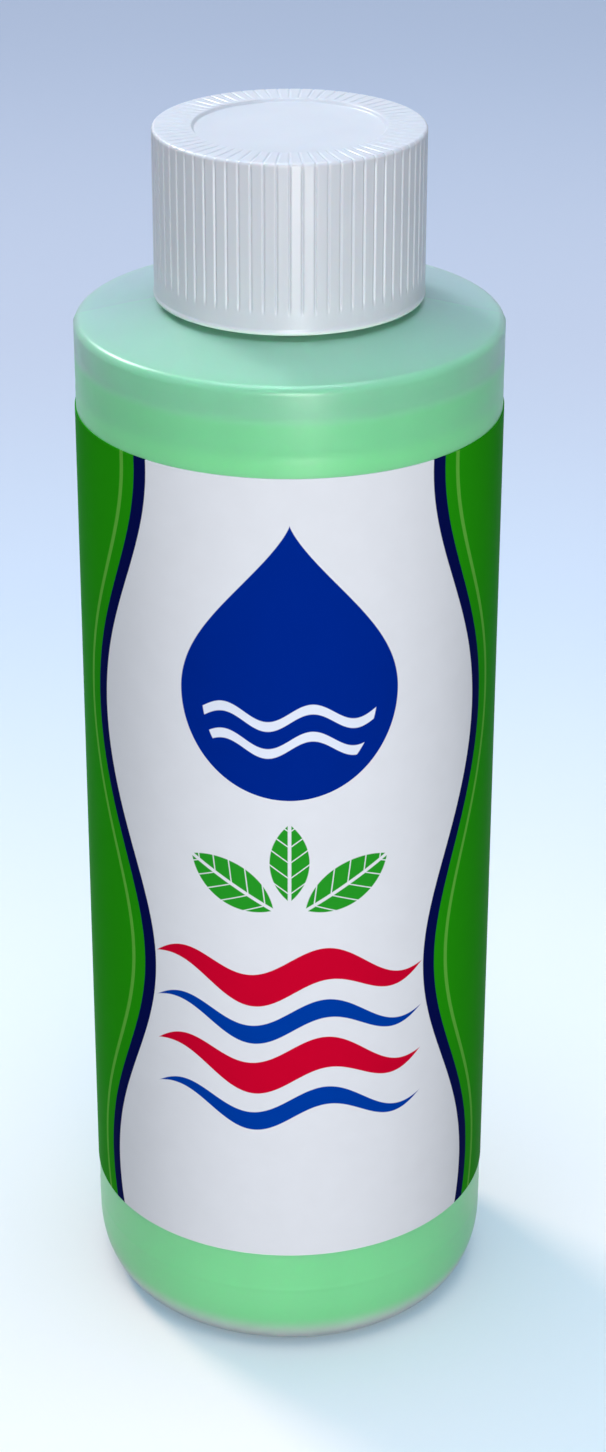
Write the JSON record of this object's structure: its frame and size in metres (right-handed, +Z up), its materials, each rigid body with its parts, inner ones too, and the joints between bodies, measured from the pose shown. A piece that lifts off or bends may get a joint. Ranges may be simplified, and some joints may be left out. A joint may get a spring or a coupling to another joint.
{
  "type": "mouthwash bottle",
  "caption": "Round translucent bottle of green mouthwash with a wrap-round label and a ribbed white screw cap that unscrews and lifts off.",
  "frame": {"origin": "centre of the base, on the plane that the bottle stands on", "axes": "+Z up along the bottle's axis to the cap; -Y points out of the middle of the label's front, +X is to the right of it"},
  "size_m": [0.0408, 0.0408, 0.1231],
  "materials": {
    "bottle_wall": "satin, translucent natural polyethylene",
    "liquid": "clear mint green liquid",
    "label_film": "semi-gloss printed film",
    "foil": "satin foil",
    "liner_foam": "fine closed-cell foam",
    "cap_plastic": "semi-gloss white polypropylene"
  },
  "bodies": {
    "bottle": {"bottle": "bottle_wall", "mouthwash": "liquid", "label": "label_film"},
    "foil_seal": {"foil_seal": "foil"},
    "cap_liner": {"cap_liner": "liner_foam"},
    "cap": {"cap": "cap_plastic"}
  },
  "joints": [
    {"name": "closure_lift", "type": "slide", "parent": "bottle", "child": "foil_seal", "axis": [0, 0, 1], "range_m": [0, 0.04]},
    {"name": "cap_rise", "type": "slide", "parent": "foil_seal", "child": "cap_liner", "axis": [0, 0, 1], "range_m": [0, 0.00476]},
    {"name": "cap_unscrew", "type": "hinge", "parent": "cap_liner", "child": "cap", "pos_m": [0, 0, 0.115], "axis": [0, 0, 1], "range_deg": [0, 540]}
  ],
  "couplings": [
    {"joint": "cap_rise", "follows": "cap_unscrew", "m_per_rad": 0.0005053}
  ]
}
